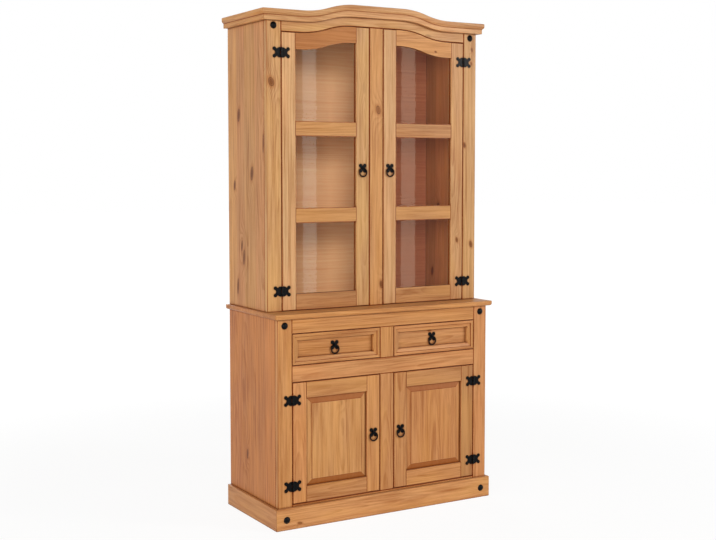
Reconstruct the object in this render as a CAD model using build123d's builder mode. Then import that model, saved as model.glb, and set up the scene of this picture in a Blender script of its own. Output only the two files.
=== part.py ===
from build123d import *
import os

# Pine hutch on a buffet base: two framed doors and two drawers below, two glazed doors
# with arched heads above, a serpentine crown, and black iron hinges, ring pulls and nails.
# Millimetres. +X is to the right, +Y to the back, +Z up. The origin is on the floor,
# under the middle of the whole piece. "left" and "right" are as seen from the front.

# Carcass boards
carcass_width = 935.0
base_depth = 413.5
base_height = 775.0
hutch_depth = 334.0
board = 18.0
back_panel = 5.0
back_lap = 9.0
housing_depth = 6.0

# Counter that the hutch stands on
counter_thickness = 19.0
counter_front_overhang = 20.0
counter_side_overhang = 15.5
counter_top_round = 2.5
counter_under_round = 8.0

# Plinth planted round the foot of the base
plinth_height = 80.5
plinth_board = 12.5
plinth_round = 2.0

# Face frames
frame_thickness = 20.0
stile_width = 60.0
corner_round = 2.0
base_bottom_rail = 60.0
threshold = 88.5
mid_rail = 61.0
drawer_opening = 118.0
base_top_rail = 54.5

# Shelves
base_shelf_height = 205.0
base_shelf_setback = 30.0
hutch_shelf_heights = (343.0, 664.0)
hutch_shelf_setback = 5.0

# Serpentine line of the hutch's head: level ends, an S-curve each side, a level middle
arch_outer_level = 22.5
arch_inner_level = 15.0
eaves_height = 1026.0
arch_rise = 35.0
rail_above_crown_foot = 37.5
crown_height = 40.0
crown_top_rise = 34.5
crown_foot_rise = 31.5
crown_board = 17.5
crown_reveal = 3.0
bead_reach = 7.0
bead_face = 12.0
bead_height = 22.0
bead_nose = 3.0
bead_hollow = 1.8

# Doors
door_gap = 2.0
door_thickness = 19.5
door_stile = 58.0
door_rail = 60.0
groove_depth = 8.0
tenon_play = 0.1
panel_groove = 6.0
panel_groove_from_face = 8.75
panel_play = 0.25
panel_bevel = 23.0
panel_bevel_fall = 5.0
panel_shoulder = 2.0
cross_rail = 55.0
cross_rail_heights = (326.0, 647.0)
glass = 3.0
glass_groove = 4.0
glass_groove_from_face = 8.0
glass_play = 1.0

# Drawers
moulding_width = 25.0
moulding_thickness = 20.0
moulding_flat = 11.0
moulding_step = 2.5
moulding_fall = 4.5
drawer_board = 12.0
drawer_box_inset = 3.0
drawer_side_height = 90.0
drawer_side = 12.0
drawer_back_drop = 4.0
drawer_bottom = 4.0
drawer_bottom_height = 10.0
drawer_bottom_groove = 5.0
drawer_length = 390.0
runner_height = 20.0
runner_lip = 3.0
guide_height = 25.0
guide_gap = 0.5
slide_gap = 0.3
stop_height = 12.0

# Iron hinges: a leaf on the frame with two knuckles and the pin, one on the door
leaf_thickness = 1.8
leaf_half_height = 18.5
leaf_shoulder = 8.0
leaf_rim = 14.4
leaf_rim_height = 16.2
leaf_notch = 18.2
leaf_waist = 11.6
leaf_lobe = 27.8
leaf_lobe_height = 13.2
leaf_lobe_radius = 6.8
leaf_lobe_start = 152.0
leaf_lobe_sweep = 214.0
leaf_hollow = 24.6
knuckle_radius = 3.5
knuckle_lift = 3.9
knuckle_half = 6.0
knuckle_gap = 0.15
leaf_gap = 0.5
pin_radius = 1.7
pin_clearance = 0.05
hutch_hinge_heights = (75.0, 949.0)
base_hinge_heights = (156.0, 475.0)

# Iron pulls: a four-lobed plate with an eye, and a loose ring
plate_thickness = 2.0
lobe_radius = 7.4
lobe_x = 9.0
lobe_z = 9.6
plate_waist = 8.5
eye_width = 4.4
eye_outer = 4.8
eye_hole = 2.9
ring_radius = 15.8
ring_wire = 2.4
ring_clear = 0.8
hutch_pull_height = 528.5
base_pull_height = 319.0
drawer_pull_drop = 56.0

# Iron nail heads
nail_radius = 13.0
nail_dome = 7.0
nail_inset = 30.0
nail_base_drop = 23.5
nail_hutch_lift = 20.0
nail_plinth_height = 38.0

# Magnetic catches behind the middle stile and muntin
catch_width = 90.0
catch_height = 16.0
catch_depth = 14.0
catch_hutch_height = 440.0
catch_base_drop = 60.0

# Places worked out from the sizes above
back = (base_depth + counter_front_overhang) / 2
base_front = back - base_depth
hutch_front = back - hutch_depth
half = carcass_width / 2
inside = half - board
opening_outer = half - stile_width
opening_inner = stile_width / 2
lining_back = back - back_panel
counter_top = base_height + counter_thickness
drawer_head = base_height - base_top_rail
drawer_foot = drawer_head - drawer_opening
door_head = drawer_foot - mid_rail
eaves = counter_top + eaves_height
crown_foot = eaves + rail_above_crown_foot
crown_top = crown_foot + crown_height
hutch_head = crown_top - crown_reveal
door_inner = opening_inner + door_gap
door_outer = opening_outer - door_gap
light_inner = door_inner + door_stile
light_outer = door_outer - door_stile
arch_outer = light_outer - arch_outer_level
arch_inner = light_inner + arch_inner_level
forward = (0, -1, 0)

os.makedirs("parts", exist_ok=True)


def store(name, *pieces):
    """Label one piece, or a set of loose pieces, and write it to its own STEP file."""
    part = pieces[0] if len(pieces) == 1 else Compound(children=list(pieces))
    part.label = name
    export_step(part, f"parts/{name}.step")


def elevation(y, side=1):
    """Upright plane at depth y, seen from the front. Its x runs away from the middle."""
    return Plane(origin=(0, y, 0), x_dir=(side, 0, 0), z_dir=(0, -side, 0))


def span(x0, x1, y0, y1):
    """Rectangle between two pairs of limits, in the sketch at work."""
    with Locations(((x0 + x1) / 2, (y0 + y1) / 2)):
        Rectangle(abs(x1 - x0), abs(y1 - y0))


def serpentine(start, end, low, rise):
    """Right half of the head line, from x = start near the middle out to x = end."""
    middle = ((arch_outer + arch_inner) / 2, low + rise / 2)
    ridge = Line((start, low + rise), (arch_inner, low + rise))
    shoulder = TangentArc(ridge @ 1, middle, tangent=ridge % 1)
    foot = TangentArc(shoulder @ 1, (arch_outer, low), tangent=shoulder % 1)
    Line(foot @ 1, (end, low))


def carcass_sides(front, foot, head, lining_foot, housings):
    """Left and right side boards, rebated for the back and housed for what they carry.
    Each housing is the foot of a board and how far its front edge is set back."""
    with BuildPart() as sides:
        with BuildSketch(Plane.YZ.offset(inside)):
            span(front + frame_thickness, back, foot, head)
        extrude(amount=board)
        with BuildSketch(Plane.YZ.offset(inside)):
            span(lining_back, back, lining_foot, head)
        extrude(amount=back_lap, mode=Mode.SUBTRACT)
        with BuildSketch(Plane.YZ.offset(inside)):
            for housing_foot, setback in housings:
                span(front + frame_thickness + setback, lining_back, housing_foot, housing_foot + board)
        extrude(amount=housing_depth, mode=Mode.SUBTRACT)
        mirror(about=Plane.YZ)
    return sides.part


def housed_board(front, foot, setback):
    """A level board that lies in the housings of both sides, up to the back panel."""
    reach = inside + housing_depth
    with BuildPart() as level:
        with BuildSketch(Plane.XY.offset(foot)):
            span(-reach, reach, front + frame_thickness + setback, lining_back)
        extrude(amount=board)
    return level.part


def lining(foot, head):
    """Thin back panel, let into the rebates of the sides."""
    reach = inside + back_lap
    with BuildPart() as panel:
        with BuildSketch(elevation(back)):
            span(-reach, reach, foot, head)
        extrude(amount=back_panel)
    return panel.part


def frame_member(front, x0, x1, z0, z1):
    """A straight stile or rail of a face frame."""
    with BuildPart() as member:
        with BuildSketch(elevation(front + frame_thickness)):
            span(x0, x1, z0, z1)
        extrude(amount=frame_thickness)
    return member.part


def outer_stiles(front, foot, head):
    """The two outer stiles of a face frame, with their outer corners eased."""
    with BuildPart() as stiles:
        with BuildSketch(elevation(front + frame_thickness)):
            span(-half, -opening_outer, foot, head)
            span(opening_outer, half, foot, head)
        extrude(amount=frame_thickness)
        front_corners = stiles.edges().filter_by(Axis.Z).group_by(Axis.Y)[0].sort_by(Axis.X)
        fillet([front_corners[0], front_corners[-1]], radius=corner_round)
    return stiles.part


# ---------------------------------------------------------------- base carcass
bottom_foot = threshold - board
shelf_foot = threshold + base_shelf_height
store("base_sides", carcass_sides(base_front, 0, base_height, bottom_foot,
                                  ((bottom_foot, 0), (shelf_foot, base_shelf_setback))))
store("base_bottom_board", housed_board(base_front, bottom_foot, 0))
store("base_shelf", housed_board(base_front, shelf_foot, base_shelf_setback))
store("base_back_panel", lining(bottom_foot, base_height))
store("base_stiles", outer_stiles(base_front, 0, base_height))
store("base_top_rail", frame_member(base_front, -opening_outer, opening_outer, drawer_head, base_height))
store("base_mid_rail", frame_member(base_front, -opening_outer, opening_outer, door_head, drawer_foot))
store("base_bottom_rail", frame_member(base_front, -opening_outer, opening_outer,
                                       threshold - base_bottom_rail, threshold))
store("drawer_muntin", frame_member(base_front, -opening_inner, opening_inner, drawer_foot, drawer_head))
store("door_muntin", frame_member(base_front, -opening_inner, opening_inner, threshold, door_head))

# Counter: eased above, with a deep round under its front and end edges
with BuildPart() as counter:
    with BuildSketch(Plane.XY.offset(base_height)):
        span(-half - counter_side_overhang, half + counter_side_overhang, -back, back)
    extrude(amount=counter_thickness)
    upright = counter.edges().filter_by(Axis.Z).group_by(Axis.Y)[0]
    fillet(upright, radius=counter_top_round)
    rim = counter.faces().sort_by(Axis.Z)[-1].edges().sort_by(Axis.Y)
    fillet(rim[:-1], radius=counter_top_round)
    keel = counter.faces().sort_by(Axis.Z)[0].edges().sort_by(Axis.Y)
    fillet(keel[:-1], radius=counter_under_round)
store("counter_top", counter.part)

# Plinth boards, mitred at the front corners
plinth_half = half + plinth_board
plinth_front = base_front - plinth_board
with BuildPart() as plinth_face:
    with BuildSketch(Plane.XY):
        Polygon((-plinth_half, plinth_front), (plinth_half, plinth_front),
                (half, base_front), (-half, base_front), align=None)
    extrude(amount=plinth_height)
    fillet(plinth_face.edges().group_by(Axis.Z)[-1].sort_by(Axis.Y)[0], radius=plinth_round)
store("plinth_front", plinth_face.part)

with BuildPart() as plinth_returns:
    with BuildSketch(Plane.XY):
        Polygon((half, base_front), (plinth_half, plinth_front),
                (plinth_half, back), (half, back), align=None)
    extrude(amount=plinth_height)
    fillet(plinth_returns.edges().group_by(Axis.Z)[-1].sort_by(Axis.X)[-1], radius=plinth_round)
    mirror(about=Plane.YZ)
store("plinth_returns", plinth_returns.part)

# ---------------------------------------------------------------- hutch carcass
hutch_shelf_feet = [counter_top + height for height in hutch_shelf_heights]
housings = [(counter_top, 0)]
housings += [(foot, hutch_shelf_setback) for foot in hutch_shelf_feet]
housings += [(hutch_head - board, 0)]
store("hutch_sides", carcass_sides(hutch_front, counter_top, hutch_head, counter_top, housings))
store("hutch_bottom_board", housed_board(hutch_front, counter_top, 0))
store("hutch_top_board", housed_board(hutch_front, hutch_head - board, 0))
store("hutch_shelves", *[housed_board(hutch_front, foot, hutch_shelf_setback) for foot in hutch_shelf_feet])
store("hutch_back_panel", lining(counter_top, hutch_head))
store("hutch_stiles", outer_stiles(hutch_front, counter_top, hutch_head))
store("hutch_centre_stile", frame_member(hutch_front, -opening_inner, opening_inner,
                                         counter_top, eaves + arch_rise))

# Arched head rail of the face frame
with BuildPart() as head_rail:
    with BuildSketch(elevation(hutch_front + frame_thickness)):
        with BuildLine():
            serpentine(0, opening_outer, eaves, arch_rise)
            Line((opening_outer, eaves), (opening_outer, hutch_head))
            serpentine(0, opening_outer, hutch_head, crown_top_rise)
            Line((0, hutch_head + crown_top_rise), (0, eaves + arch_rise))
        make_face()
        mirror(about=Plane.YZ)
    extrude(amount=frame_thickness)
store("hutch_arched_rail", head_rail.part)

# Crown: a board with serpentine edges, and a bead swept along its upper edge.
# The right half runs past the corner, is cut back to the mitre, and is mirrored.
crown_tip = half + crown_board + bead_reach
crown_face = hutch_front - crown_board
mitre = Plane(origin=(half, hutch_front, 0), x_dir=(0, 0, 1), z_dir=(1, 1, 0))


def bead_outline(x, top):
    """Section of the bead: round nose, upright face, hollow back to the board."""
    tip = x + bead_reach
    crest = Line((x, top), (tip - bead_nose, top))
    nose = TangentArc(crest @ 1, (tip, top - bead_nose), tangent=crest % 1)
    face = Line(nose @ 1, (tip, top - bead_face))
    hollow = SagittaArc(face @ 1, (x, top - bead_height), bead_hollow)
    Line(hollow @ 1, (x, top))


with BuildPart() as crown:
    with BuildSketch(elevation(hutch_front)):
        with BuildLine():
            serpentine(0, crown_tip, crown_top, crown_top_rise)
            Line((crown_tip, crown_top), (crown_tip, crown_foot))
            serpentine(0, crown_tip, crown_foot, crown_foot_rise)
            Line((0, crown_foot + crown_foot_rise), (0, crown_top + crown_top_rise))
        make_face()
    extrude(amount=crown_board)
    with BuildLine(elevation(crown_face)) as crest:
        serpentine(0, crown_tip, crown_top, crown_top_rise)
    with BuildSketch(Plane(origin=crest.line @ 0, x_dir=forward, z_dir=(-1, 0, 0))):
        with BuildLine():
            bead_outline(0, 0)
        make_face()
    sweep(path=crest.line)
    split(bisect_by=mitre, keep=Keep.BOTTOM)
    mirror(about=Plane.YZ)
store("crown_front", crown.part)

with BuildPart() as crown_returns:
    with BuildSketch(elevation(back)):
        span(half, half + crown_board, crown_foot, crown_top)
        with BuildLine():
            bead_outline(half + crown_board, crown_top)
        make_face()
    extrude(amount=back - hutch_front + crown_board + bead_reach)
    split(bisect_by=mitre, keep=Keep.TOP)
    mirror(about=Plane.YZ)
store("crown_returns", crown_returns.part)


# ---------------------------------------------------------------- doors
def door_stiles(side, front, foot, inner_head, outer_head, groove, groove_from_face):
    """Both stiles of a door, grooved along their inner edges."""
    with BuildPart() as stiles:
        with BuildSketch(elevation(front + door_thickness, side)):
            span(door_inner, light_inner, foot, inner_head)
            span(light_outer, door_outer, foot, outer_head)
        extrude(amount=door_thickness, dir=forward)
        with BuildSketch(elevation(front + groove_from_face + groove, side)):
            span(light_inner - groove_depth, light_outer + groove_depth, foot, inner_head)
        extrude(amount=groove, dir=forward, mode=Mode.SUBTRACT)
    return stiles.part


def door_rails(side, front, levels, groove, groove_from_face):
    """Straight rails between the stiles, with stub tenons in the stiles' grooves. Each level
    is a rail's foot and head, and whether its foot and head are grooved."""
    with BuildPart() as rails:
        with BuildSketch(elevation(front + door_thickness, side)):
            for foot, head, _, _ in levels:
                span(light_inner, light_outer, foot, head)
        extrude(amount=door_thickness, dir=forward)
        with BuildSketch(elevation(front + groove_from_face + groove - tenon_play, side)):
            for foot, head, _, _ in levels:
                span(light_inner - groove_depth, light_outer + groove_depth, foot, head)
        extrude(amount=groove - 2 * tenon_play, dir=forward)
        with BuildSketch(elevation(front + groove_from_face + groove, side)):
            for foot, head, foot_grooved, head_grooved in levels:
                if foot_grooved:
                    span(light_inner - groove_depth, light_outer + groove_depth, foot, foot + groove_depth)
                if head_grooved:
                    span(light_inner - groove_depth, light_outer + groove_depth, head - groove_depth, head)
        extrude(amount=groove, dir=forward, mode=Mode.SUBTRACT)
    return rails.part


def raised_panel(side, front, foot, head):
    """Fielded panel: a tongue held in the grooves, a broad bevel, and a raised field."""
    tongue_front = front + panel_groove_from_face + panel_play
    tongue_back = front + panel_groove_from_face + panel_groove - panel_play
    bevel_top = tongue_front - panel_bevel_fall
    with BuildPart() as panel:
        with BuildSketch(elevation(tongue_back, side)):
            span(light_inner - groove_depth + panel_play, light_outer + groove_depth - panel_play,
                 foot - groove_depth, head + groove_depth - panel_play)
        extrude(amount=tongue_back - tongue_front, dir=forward)
        with BuildSketch(elevation(tongue_front, side)):
            span(light_inner, light_outer, foot, head)
        with BuildSketch(elevation(bevel_top, side)):
            span(light_inner + panel_bevel, light_outer - panel_bevel, foot + panel_bevel, head - panel_bevel)
        loft()
        with BuildSketch(elevation(bevel_top, side)):
            span(light_inner + panel_bevel, light_outer - panel_bevel, foot + panel_bevel, head - panel_bevel)
        extrude(amount=panel_shoulder, dir=forward)
    return panel.part


def hinge_leaf(side, front, height, on_frame):
    """One butterfly leaf of a surface hinge. The frame's leaf has the two outer knuckles and
    the pin, the door's leaf has the middle knuckle, bored to turn on it."""
    pivot_x = side * (opening_outer - door_gap / 2)
    pivot_y = front - knuckle_lift
    away = side if on_frame else -side
    leaf_edge = knuckle_radius + leaf_gap
    with BuildPart() as leaf:
        with BuildSketch(Plane(origin=(pivot_x, front, height), x_dir=(away, 0, 0), z_dir=forward)):
            with BuildLine():
                shoulder = Line((leaf_edge, leaf_half_height), (leaf_shoulder, leaf_half_height))
                rim = ThreePointArc(shoulder @ 1, (leaf_rim, leaf_rim_height), (leaf_notch, leaf_waist))
                lobe = CenterArc((leaf_lobe, leaf_lobe_height), leaf_lobe_radius,
                                 leaf_lobe_start, -leaf_lobe_sweep)
                neck = Line(rim @ 1, lobe @ 0)
                tip = lobe @ 1
                ThreePointArc(tip, (leaf_hollow, 0), (tip.X, -tip.Y))
                mirror([shoulder, rim, neck, lobe], about=Plane.XZ)
                Line((leaf_edge, leaf_half_height), (leaf_edge, -leaf_half_height))
            make_face()
            if on_frame:
                span(0, leaf_edge, knuckle_half + knuckle_gap, leaf_half_height)
                span(0, leaf_edge, -leaf_half_height, -knuckle_half - knuckle_gap)
            else:
                span(0, leaf_edge, -knuckle_half + knuckle_gap, knuckle_half - knuckle_gap)
        extrude(amount=leaf_thickness)
        with BuildSketch(Plane.XY.offset(height)):
            with Locations((pivot_x, pivot_y)):
                Circle(knuckle_radius)
        if on_frame:
            extrude(amount=leaf_half_height, both=True)
            with BuildSketch(Plane.XY.offset(height)):
                with Locations((pivot_x, pivot_y)):
                    Circle(knuckle_radius)
                    Circle(pin_radius, mode=Mode.SUBTRACT)
            extrude(amount=knuckle_half + knuckle_gap, both=True, mode=Mode.SUBTRACT)
        else:
            extrude(amount=knuckle_half - knuckle_gap, both=True)
            with BuildSketch(Plane.XY.offset(height)):
                with Locations((pivot_x, pivot_y)):
                    Circle(pin_radius + pin_clearance)
            extrude(amount=knuckle_half, both=True, mode=Mode.SUBTRACT)
    return leaf.part


def eye_depth(face):
    """Depth of the axis on which a ring swings, in front of the wood it hangs on."""
    return face - plate_thickness - ring_clear - ring_wire


def pull_plate(x, face, height):
    """Four-lobed plate, with an eye standing out of its middle."""
    with BuildPart() as plate:
        with BuildSketch(elevation(face)):
            with Locations((x, height)):
                Circle(plate_waist)
                with GridLocations(2 * lobe_x, 2 * lobe_z, 2, 2):
                    Circle(lobe_radius)
        extrude(amount=plate_thickness)
        with BuildSketch(Plane.YZ.offset(x)):
            with Locations((eye_depth(face), height)):
                Circle(eye_outer)
            span(eye_depth(face), face, height - eye_outer, height + eye_outer)
        extrude(amount=eye_width / 2, both=True)
        with BuildSketch(Plane.YZ.offset(x)):
            with Locations((eye_depth(face), height)):
                Circle(eye_hole)
        extrude(amount=eye_width, both=True, mode=Mode.SUBTRACT)
    return plate.part


def pull_ring(x, face, height):
    """Round wire ring that hangs in the eye of a pull plate."""
    with BuildPart() as ring:
        with BuildSketch(Plane.YZ.offset(x)):
            with Locations((eye_depth(face), height)):
                Circle(ring_wire)
        revolve(axis=Axis((x, eye_depth(face), height - ring_radius), (0, 1, 0)))
    return ring.part


def base_door(side, name):
    """Framed and panelled door of the base."""
    foot = threshold + door_gap
    head = door_head - door_gap
    light_foot = foot + door_rail
    light_head = head - door_rail
    store(f"{name}_stiles", door_stiles(side, base_front, foot, head, head,
                                        panel_groove, panel_groove_from_face))
    levels = ((foot, light_foot, False, True), (light_head, head, True, False))
    store(f"{name}_rails", door_rails(side, base_front, levels, panel_groove, panel_groove_from_face))
    store(f"{name}_panel", raised_panel(side, base_front, light_foot, light_head))
    leaves = [hinge_leaf(side, base_front, height, False) for height in base_hinge_heights]
    pull_x = side * (door_inner + door_stile / 2)
    store(f"{name}_ironwork", *leaves, pull_plate(pull_x, base_front, base_pull_height))
    store(f"{name}_ring", pull_ring(pull_x, base_front, base_pull_height))


def arched_rail(side, foot, head):
    """Head rail of a glazed door: its foot and head both follow the serpentine line."""
    groove_front = hutch_front + glass_groove_from_face
    with BuildPart() as rail:
        with BuildSketch(elevation(hutch_front + door_thickness, side)):
            with BuildLine():
                serpentine(light_inner, light_outer, foot, arch_rise)
                Line((light_outer, foot), (light_outer, head))
                serpentine(light_inner, light_outer, head, arch_rise)
                Line((light_inner, head + arch_rise), (light_inner, foot + arch_rise))
            make_face()
        extrude(amount=door_thickness, dir=forward)
        with BuildSketch(elevation(groove_front + glass_groove - tenon_play, side)):
            span(light_inner - groove_depth, light_inner, foot + arch_rise, head + arch_rise)
            span(light_outer, light_outer + groove_depth, foot, head)
        extrude(amount=glass_groove - 2 * tenon_play, dir=forward)
        with BuildSketch(elevation(groove_front + glass_groove, side)):
            with BuildLine():
                serpentine(light_inner - groove_depth, light_outer + groove_depth, foot, arch_rise)
                Line((light_outer + groove_depth, foot), (light_outer + groove_depth, foot + groove_depth))
                serpentine(light_inner - groove_depth, light_outer + groove_depth,
                           foot + groove_depth, arch_rise)
                Line((light_inner - groove_depth, foot + groove_depth + arch_rise),
                     (light_inner - groove_depth, foot + arch_rise))
            make_face()
        extrude(amount=glass_groove, dir=forward, mode=Mode.SUBTRACT)
    return rail.part


def panes(side, lights, arch_foot):
    """Glass for each light of a door, standing in the grooves. The top one has an arched head."""
    pane_inner = light_inner - groove_depth + glass_play
    pane_outer = light_outer + groove_depth - glass_play
    pane_back = hutch_front + glass_groove_from_face + (glass_groove + glass) / 2
    with BuildPart() as glazing:
        with BuildSketch(elevation(pane_back, side)):
            for foot, head in lights:
                span(pane_inner, pane_outer, foot - groove_depth, head + groove_depth - glass_play)
            top_foot = lights[-1][1] + cross_rail - groove_depth
            top_head = arch_foot + groove_depth - glass_play
            with BuildLine():
                Line((pane_inner, top_head + arch_rise), (pane_inner, top_foot))
                Line((pane_inner, top_foot), (pane_outer, top_foot))
                Line((pane_outer, top_foot), (pane_outer, top_head))
                serpentine(pane_inner, pane_outer, top_head, arch_rise)
            make_face()
        extrude(amount=glass, dir=forward)
    return glazing.part


def hutch_door(side, name):
    """Glazed door: three lights under an arched head rail."""
    foot = counter_top + door_gap
    outer_head = eaves - door_gap
    inner_head = outer_head + arch_rise
    arch_foot = outer_head - door_rail
    store(f"{name}_stiles", door_stiles(side, hutch_front, foot, inner_head, outer_head,
                                        glass_groove, glass_groove_from_face))
    levels = [(foot, foot + door_rail, False, True)]
    for height in cross_rail_heights:
        levels.append((counter_top + height, counter_top + height + cross_rail, True, True))
    store(f"{name}_rails", door_rails(side, hutch_front, levels, glass_groove, glass_groove_from_face))
    store(f"{name}_arched_rail", arched_rail(side, arch_foot, outer_head))
    lights = [(below[1], above[0]) for below, above in zip(levels, levels[1:])]
    store(f"{name}_glass", panes(side, lights, arch_foot))
    leaves = [hinge_leaf(side, hutch_front, counter_top + height, False) for height in hutch_hinge_heights]
    pull_x = side * (door_inner + door_stile / 2)
    pull_height = counter_top + hutch_pull_height
    store(f"{name}_ironwork", *leaves, pull_plate(pull_x, hutch_front, pull_height))
    store(f"{name}_ring", pull_ring(pull_x, hutch_front, pull_height))


# ---------------------------------------------------------------- drawers
drawer_front_back = base_front + moulding_thickness + drawer_board
box_outer = opening_outer - door_gap - drawer_box_inset
box_inner = opening_inner + door_gap + drawer_box_inset
box_foot = drawer_foot + slide_gap
box_rear = base_front + drawer_length
tray_inner = box_inner + drawer_side - drawer_bottom_groove
tray_outer = box_outer - drawer_side + drawer_bottom_groove
tray_foot = box_foot + drawer_bottom_height


def moulding_member(x, height, length, width, along):
    """One mitred member of a drawer's moulded frame: flat outer band, step, and a slope in
    to a square inner edge. It lies along the foot of the plane that 'along' turns."""
    inward = (-along[1], along[0])
    foot = Plane(origin=(x - inward[0] * width / 2, base_front + moulding_thickness,
                         height - inward[1] * width / 2),
                 x_dir=(along[0], 0, along[1]), z_dir=forward)
    end = length / 2
    with BuildPart() as member:
        with BuildSketch(foot):
            Polygon((-end, 0), (end, 0), (end - moulding_width, moulding_width),
                    (moulding_width - end, moulding_width), align=None)
        extrude(amount=moulding_thickness)
        with BuildSketch(Plane(origin=foot.origin, x_dir=foot.y_dir, z_dir=foot.x_dir)):
            Polygon((moulding_flat, moulding_thickness),
                    (moulding_flat, moulding_thickness - moulding_step),
                    (moulding_width, moulding_thickness - moulding_step - moulding_fall),
                    (moulding_width, moulding_thickness), align=None)
        extrude(amount=length, both=True, mode=Mode.SUBTRACT)
    return member.part


def drawer(side, name):
    """Drawer with a mitred moulded frame on a recessed front board, and a plain box."""
    foot = drawer_foot + door_gap
    head = drawer_head - door_gap
    centre_x = side * (door_inner + door_outer) / 2
    width = door_outer - door_inner
    height = head - foot
    middle = (foot + head) / 2
    members = [moulding_member(centre_x, middle, width, height, (along, 0)) for along in (1, -1)]
    members += [moulding_member(centre_x, middle, height, width, (0, along)) for along in (1, -1)]
    store(f"{name}_moulded_frame", *members)

    with BuildPart() as front_board:
        with BuildSketch(elevation(drawer_front_back, side)):
            span(door_inner, door_outer, foot, head)
        extrude(amount=drawer_board, dir=forward)
        with BuildSketch(elevation(drawer_front_back, side)):
            span(tray_inner, tray_outer, tray_foot, tray_foot + drawer_bottom)
        extrude(amount=drawer_bottom_groove, dir=forward, mode=Mode.SUBTRACT)
    store(f"{name}_front_board", front_board.part)

    with BuildPart() as box_sides:
        with BuildSketch(elevation(box_rear, side)):
            span(box_inner, box_inner + drawer_side, box_foot, box_foot + drawer_side_height)
            span(box_outer - drawer_side, box_outer, box_foot, box_foot + drawer_side_height)
        extrude(amount=box_rear - drawer_front_back, dir=forward)
        with BuildSketch(elevation(box_rear, side)):
            span(tray_inner, tray_outer, tray_foot, tray_foot + drawer_bottom)
        extrude(amount=box_rear - drawer_front_back, dir=forward, mode=Mode.SUBTRACT)
    with BuildPart() as box_back:
        with BuildSketch(elevation(box_rear, side)):
            span(box_inner + drawer_side, box_outer - drawer_side,
                 tray_foot + drawer_bottom, box_foot + drawer_side_height - drawer_back_drop)
        extrude(amount=drawer_side, dir=forward)
    with BuildPart() as box_bottom:
        with BuildSketch(elevation(box_rear, side)):
            span(tray_inner, tray_outer, tray_foot, tray_foot + drawer_bottom)
        extrude(amount=box_rear - drawer_front_back + drawer_bottom_groove, dir=forward)
    store(f"{name}_box", box_sides.part, box_back.part, box_bottom.part)

    face = base_front + moulding_thickness
    store(f"{name}_pull_plate", pull_plate(centre_x, face, drawer_head - drawer_pull_drop))
    store(f"{name}_ring", pull_ring(centre_x, face, drawer_head - drawer_pull_drop))


for side, hand in ((-1, "left"), (1, "right")):
    base_door(side, f"base_door_{hand}")
    hutch_door(side, f"hutch_door_{hand}")
    drawer(side, f"drawer_{hand}")

# Running gear: bearers under both sides of each drawer, guides beside them, stops behind
lip_outer = box_outer - drawer_side - runner_lip
lip_inner = box_inner + drawer_side + runner_lip


def stick(x0, x1, foot, height, front):
    """Straight length of running gear from the back panel forward to depth 'front'."""
    with BuildPart() as length:
        with BuildSketch(elevation(lining_back)):
            span(x0, x1, foot, foot + height)
        extrude(amount=lining_back - front)
    return length.part


running_gear = []
for x0, x1 in ((-inside, -lip_outer), (-lip_inner, lip_inner), (lip_outer, inside)):
    running_gear.append(stick(x0, x1, drawer_foot - runner_height, runner_height,
                              base_front + frame_thickness))
for x0, x1 in ((-inside, -box_outer - guide_gap), (guide_gap - box_inner, box_inner - guide_gap),
               (box_outer + guide_gap, inside)):
    running_gear.append(stick(x0, x1, drawer_foot, guide_height, drawer_front_back + guide_gap))
for x0, x1 in ((-box_outer, -lip_outer), (-lip_inner, -box_inner), (box_inner, lip_inner),
               (lip_outer, box_outer)):
    running_gear.append(stick(x0, x1, drawer_foot, stop_height, box_rear + slide_gap))
store("drawer_runners", *running_gear)

# ---------------------------------------------------------------- iron on the frame
frame_leaves = []
for side in (-1, 1):
    for height in base_hinge_heights:
        frame_leaves.append(hinge_leaf(side, base_front, height, True))
    for height in hutch_hinge_heights:
        frame_leaves.append(hinge_leaf(side, hutch_front, counter_top + height, True))
store("frame_hinge_leaves", *frame_leaves)


def nail_head(x, face, height):
    """Domed head of a hand-made nail, on the wood."""
    with BuildPart() as head:
        with BuildSketch(Plane(origin=(x, face, height), x_dir=(1, 0, 0), z_dir=(0, 0, -1))):
            with BuildLine():
                Line((0, 0), (nail_radius, 0))
                TangentArc((0, nail_dome), (nail_radius, 0), tangent=(1, 0))
                Line((0, nail_dome), (0, 0))
            make_face()
        revolve(axis=Axis((x, face, height), forward))
    return head.part


nails = []
for x in (nail_inset - half, half - nail_inset):
    nails.append(nail_head(x, hutch_front, eaves + nail_hutch_lift))
    nails.append(nail_head(x, base_front, base_height - nail_base_drop))
    nails.append(nail_head(x, plinth_front, nail_plinth_height))
store("nail_heads", *nails)


def catch(front, foot):
    """Double magnetic catch behind the middle member of a face frame."""
    with BuildPart() as block:
        with BuildSketch(elevation(front + frame_thickness + catch_depth)):
            span(-catch_width / 2, catch_width / 2, foot, foot + catch_height)
        extrude(amount=catch_depth)
    return block.part


store("door_catches", catch(base_front, door_head - catch_base_drop),
      catch(hutch_front, counter_top + catch_hutch_height))
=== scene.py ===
import math

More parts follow.
